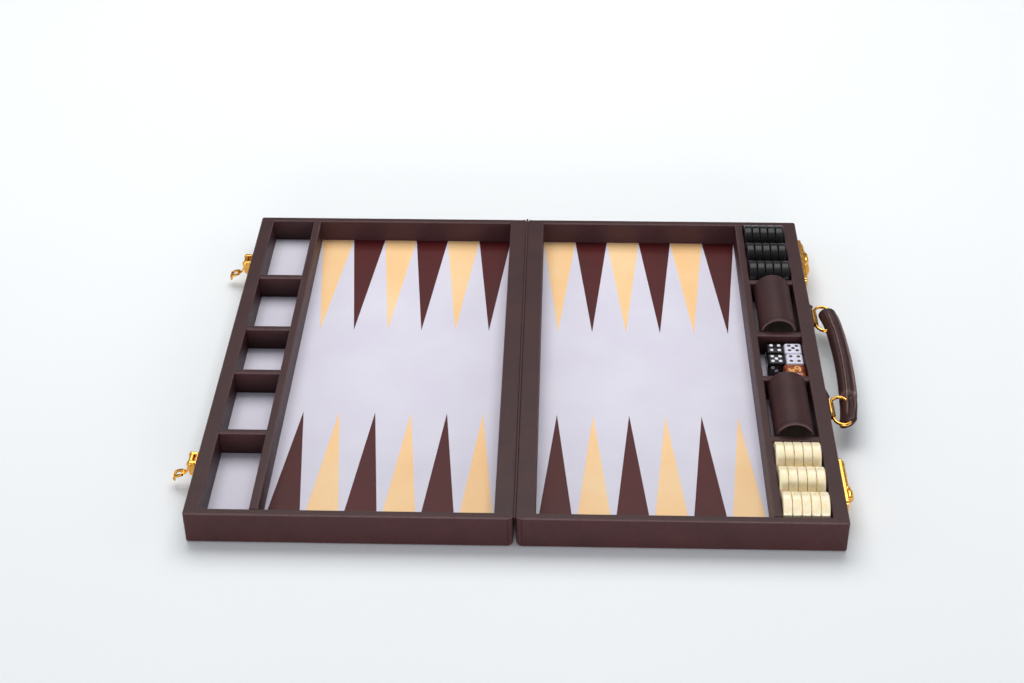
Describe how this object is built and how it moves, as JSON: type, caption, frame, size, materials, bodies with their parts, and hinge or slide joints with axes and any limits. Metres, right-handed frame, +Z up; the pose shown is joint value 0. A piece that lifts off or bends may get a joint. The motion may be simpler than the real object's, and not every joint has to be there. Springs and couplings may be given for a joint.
{
  "type": "backgammon set",
  "caption": "Leather-covered backgammon case opened flat: two hinged halves with inlaid playing surfaces and trays of checkers, cups, dice and a doubling cube; brass hasps, catches, handle.",
  "frame": {"origin": "centre of the opened set on the table", "axes": "+X from the empty-tray half to the half with the playing pieces, along the opened board's width; +Y towards the back, parallel to the folding hinge; +Z up"},
  "size_m": [0.5961, 0.457, 0.0424],
  "materials": {
    "leather": "satin dark brown",
    "cup_leather": "satin dark brown",
    "lining": "matte",
    "brass": "polished",
    "hinge_metal": "dark bronzed",
    "ivory": "gloss",
    "black": "gloss",
    "white": "gloss",
    "amber": "gloss"
  },
  "bodies": {
    "right_half": {"case_shell_right": "leather", "playing_surface_right": "lining", "tray_divider_right": "leather", "hinge_leaf_right": "hinge_metal", "hinge_pin": "hinge_metal", "latch_plate_back": "brass", "latch_plate_front": "brass", "handle_bracket_back": "brass", "handle_bracket_front": "brass"},
    "left_half": {"case_shell_left": "leather", "playing_surface_left": "lining", "tray_divider_left": "leather", "hinge_leaf_left": "hinge_metal", "hasp_bracket_back": "brass", "hasp_bracket_front": "brass"},
    "hasp_back": {"hasp_back": "brass"},
    "hasp_front": {"hasp_front": "brass"},
    "latch_slide_back": {"latch_slide_back": "brass"},
    "latch_slide_front": {"latch_slide_front": "brass"},
    "handle": {"handle_grip": "leather", "handle_ring_back": "brass", "handle_ring_front": "brass"},
    "dice_cup_back": {"dice_cup_back": "cup_leather"},
    "dice_cup_front": {"dice_cup_front": "cup_leather"},
    "checker_light_01": {"checker_light_01": "ivory"},
    "checker_light_02": {"checker_light_02": "ivory"},
    "checker_light_03": {"checker_light_03": "ivory"},
    "checker_light_04": {"checker_light_04": "ivory"},
    "checker_light_05": {"checker_light_05": "ivory"},
    "checker_light_06": {"checker_light_06": "ivory"},
    "checker_light_07": {"checker_light_07": "ivory"},
    "checker_light_08": {"checker_light_08": "ivory"},
    "checker_light_09": {"checker_light_09": "ivory"},
    "checker_light_10": {"checker_light_10": "ivory"},
    "checker_light_11": {"checker_light_11": "ivory"},
    "checker_light_12": {"checker_light_12": "ivory"},
    "checker_light_13": {"checker_light_13": "ivory"},
    "checker_light_14": {"checker_light_14": "ivory"},
    "checker_light_15": {"checker_light_15": "ivory"},
    "checker_dark_01": {"checker_dark_01": "black"},
    "checker_dark_02": {"checker_dark_02": "black"},
    "checker_dark_03": {"checker_dark_03": "black"},
    "checker_dark_04": {"checker_dark_04": "black"},
    "checker_dark_05": {"checker_dark_05": "black"},
    "checker_dark_06": {"checker_dark_06": "black"},
    "checker_dark_07": {"checker_dark_07": "black"},
    "checker_dark_08": {"checker_dark_08": "black"},
    "checker_dark_09": {"checker_dark_09": "black"},
    "checker_dark_10": {"checker_dark_10": "black"},
    "checker_dark_11": {"checker_dark_11": "black"},
    "checker_dark_12": {"checker_dark_12": "black"},
    "checker_dark_13": {"checker_dark_13": "black"},
    "checker_dark_14": {"checker_dark_14": "black"},
    "checker_dark_15": {"checker_dark_15": "black"},
    "die_dark_back": {"die_dark_back": "black"},
    "die_dark_front": {"die_dark_front": "black"},
    "die_light_back": {"die_light_back": "white"},
    "die_light_front": {"die_light_front": "white"},
    "doubling_cube": {"doubling_cube": "amber"}
  },
  "joints": [
    {"name": "case_fold", "type": "hinge", "parent": "right_half", "child": "left_half", "pos_m": [-0.00445, 0, 0.0309], "axis": [0, 1, 0], "range_deg": [0, 180]},
    {"name": "catch_slide_back", "type": "slide", "parent": "right_half", "child": "latch_slide_back", "axis": [0, 1, 0], "range_m": [0, 0.007], "stiffness_N_per_m": 120, "springref_m": -0.002},
    {"name": "catch_slide_front", "type": "slide", "parent": "right_half", "child": "latch_slide_front", "axis": [0, -1, 0], "range_m": [0, 0.007], "stiffness_N_per_m": 120, "springref_m": -0.002},
    {"name": "handle_swing", "type": "hinge", "parent": "right_half", "child": "handle", "pos_m": [0.27045, 0, 0.022], "axis": [0, -1, 0], "range_deg": [-60, 65]},
    {"name": "hasp_swing_back", "type": "hinge", "parent": "left_half", "child": "hasp_back", "pos_m": [-0.28085, 0.1535, 0.0266], "axis": [0, 1, 0], "range_deg": [0, 137]},
    {"name": "hasp_swing_front", "type": "hinge", "parent": "left_half", "child": "hasp_front", "pos_m": [-0.28085, -0.155, 0.0266], "axis": [0, 1, 0], "range_deg": [0, 137]},
    {"name": "lift_dice_cup_back", "type": "slide", "parent": "right_half", "child": "dice_cup_back", "axis": [0, 0, -1], "range_m": [-0.035, 0]},
    {"name": "lift_dice_cup_front", "type": "slide", "parent": "right_half", "child": "dice_cup_front", "axis": [0, 0, -1], "range_m": [-0.035, 0]},
    {"name": "lift_checker_light_01", "type": "slide", "parent": "right_half", "child": "checker_light_01", "axis": [0, 0, -1], "range_m": [-0.035, 0]},
    {"name": "lift_checker_light_02", "type": "slide", "parent": "right_half", "child": "checker_light_02", "axis": [0, 0, -1], "range_m": [-0.035, 0]},
    {"name": "lift_checker_light_03", "type": "slide", "parent": "right_half", "child": "checker_light_03", "axis": [0, 0, -1], "range_m": [-0.035, 0]},
    {"name": "lift_checker_light_04", "type": "slide", "parent": "right_half", "child": "checker_light_04", "axis": [0, 0, -1], "range_m": [-0.035, 0]},
    {"name": "lift_checker_light_05", "type": "slide", "parent": "right_half", "child": "checker_light_05", "axis": [0, 0, -1], "range_m": [-0.035, 0]},
    {"name": "lift_checker_light_06", "type": "slide", "parent": "right_half", "child": "checker_light_06", "axis": [0, 0, -1], "range_m": [-0.035, 0]},
    {"name": "lift_checker_light_07", "type": "slide", "parent": "right_half", "child": "checker_light_07", "axis": [0, 0, -1], "range_m": [-0.035, 0]},
    {"name": "lift_checker_light_08", "type": "slide", "parent": "right_half", "child": "checker_light_08", "axis": [0, 0, -1], "range_m": [-0.035, 0]},
    {"name": "lift_checker_light_09", "type": "slide", "parent": "right_half", "child": "checker_light_09", "axis": [0, 0, -1], "range_m": [-0.035, 0]},
    {"name": "lift_checker_light_10", "type": "slide", "parent": "right_half", "child": "checker_light_10", "axis": [0, 0, -1], "range_m": [-0.035, 0]},
    {"name": "lift_checker_light_11", "type": "slide", "parent": "right_half", "child": "checker_light_11", "axis": [0, 0, -1], "range_m": [-0.035, 0]},
    {"name": "lift_checker_light_12", "type": "slide", "parent": "right_half", "child": "checker_light_12", "axis": [0, 0, -1], "range_m": [-0.035, 0]},
    {"name": "lift_checker_light_13", "type": "slide", "parent": "right_half", "child": "checker_light_13", "axis": [0, 0, -1], "range_m": [-0.035, 0]},
    {"name": "lift_checker_light_14", "type": "slide", "parent": "right_half", "child": "checker_light_14", "axis": [0, 0, -1], "range_m": [-0.035, 0]},
    {"name": "lift_checker_light_15", "type": "slide", "parent": "right_half", "child": "checker_light_15", "axis": [0, 0, -1], "range_m": [-0.035, 0]},
    {"name": "lift_checker_dark_01", "type": "slide", "parent": "right_half", "child": "checker_dark_01", "axis": [0, 0, -1], "range_m": [-0.035, 0]},
    {"name": "lift_checker_dark_02", "type": "slide", "parent": "right_half", "child": "checker_dark_02", "axis": [0, 0, -1], "range_m": [-0.035, 0]},
    {"name": "lift_checker_dark_03", "type": "slide", "parent": "right_half", "child": "checker_dark_03", "axis": [0, 0, -1], "range_m": [-0.035, 0]},
    {"name": "lift_checker_dark_04", "type": "slide", "parent": "right_half", "child": "checker_dark_04", "axis": [0, 0, -1], "range_m": [-0.035, 0]},
    {"name": "lift_checker_dark_05", "type": "slide", "parent": "right_half", "child": "checker_dark_05", "axis": [0, 0, -1], "range_m": [-0.035, 0]},
    {"name": "lift_checker_dark_06", "type": "slide", "parent": "right_half", "child": "checker_dark_06", "axis": [0, 0, -1], "range_m": [-0.035, 0]},
    {"name": "lift_checker_dark_07", "type": "slide", "parent": "right_half", "child": "checker_dark_07", "axis": [0, 0, -1], "range_m": [-0.035, 0]},
    {"name": "lift_checker_dark_08", "type": "slide", "parent": "right_half", "child": "checker_dark_08", "axis": [0, 0, -1], "range_m": [-0.035, 0]},
    {"name": "lift_checker_dark_09", "type": "slide", "parent": "right_half", "child": "checker_dark_09", "axis": [0, 0, -1], "range_m": [-0.035, 0]},
    {"name": "lift_checker_dark_10", "type": "slide", "parent": "right_half", "child": "checker_dark_10", "axis": [0, 0, -1], "range_m": [-0.035, 0]},
    {"name": "lift_checker_dark_11", "type": "slide", "parent": "right_half", "child": "checker_dark_11", "axis": [0, 0, -1], "range_m": [-0.035, 0]},
    {"name": "lift_checker_dark_12", "type": "slide", "parent": "right_half", "child": "checker_dark_12", "axis": [0, 0, -1], "range_m": [-0.035, 0]},
    {"name": "lift_checker_dark_13", "type": "slide", "parent": "right_half", "child": "checker_dark_13", "axis": [0, 0, -1], "range_m": [-0.035, 0]},
    {"name": "lift_checker_dark_14", "type": "slide", "parent": "right_half", "child": "checker_dark_14", "axis": [0, 0, -1], "range_m": [-0.035, 0]},
    {"name": "lift_checker_dark_15", "type": "slide", "parent": "right_half", "child": "checker_dark_15", "axis": [0, 0, -1], "range_m": [-0.035, 0]},
    {"name": "lift_die_dark_back", "type": "slide", "parent": "right_half", "child": "die_dark_back", "axis": [0, 0, -1], "range_m": [-0.035, 0]},
    {"name": "lift_die_dark_front", "type": "slide", "parent": "right_half", "child": "die_dark_front", "axis": [0, 0, -1], "range_m": [-0.035, 0]},
    {"name": "lift_die_light_back", "type": "slide", "parent": "right_half", "child": "die_light_back", "axis": [0, 0, -1], "range_m": [-0.035, 0]},
    {"name": "lift_die_light_front", "type": "slide", "parent": "right_half", "child": "die_light_front", "axis": [0, 0, -1], "range_m": [-0.035, 0]},
    {"name": "lift_doubling_cube", "type": "slide", "parent": "right_half", "child": "doubling_cube", "axis": [0, 0, -1], "range_m": [-0.035, 0]}
  ]
}
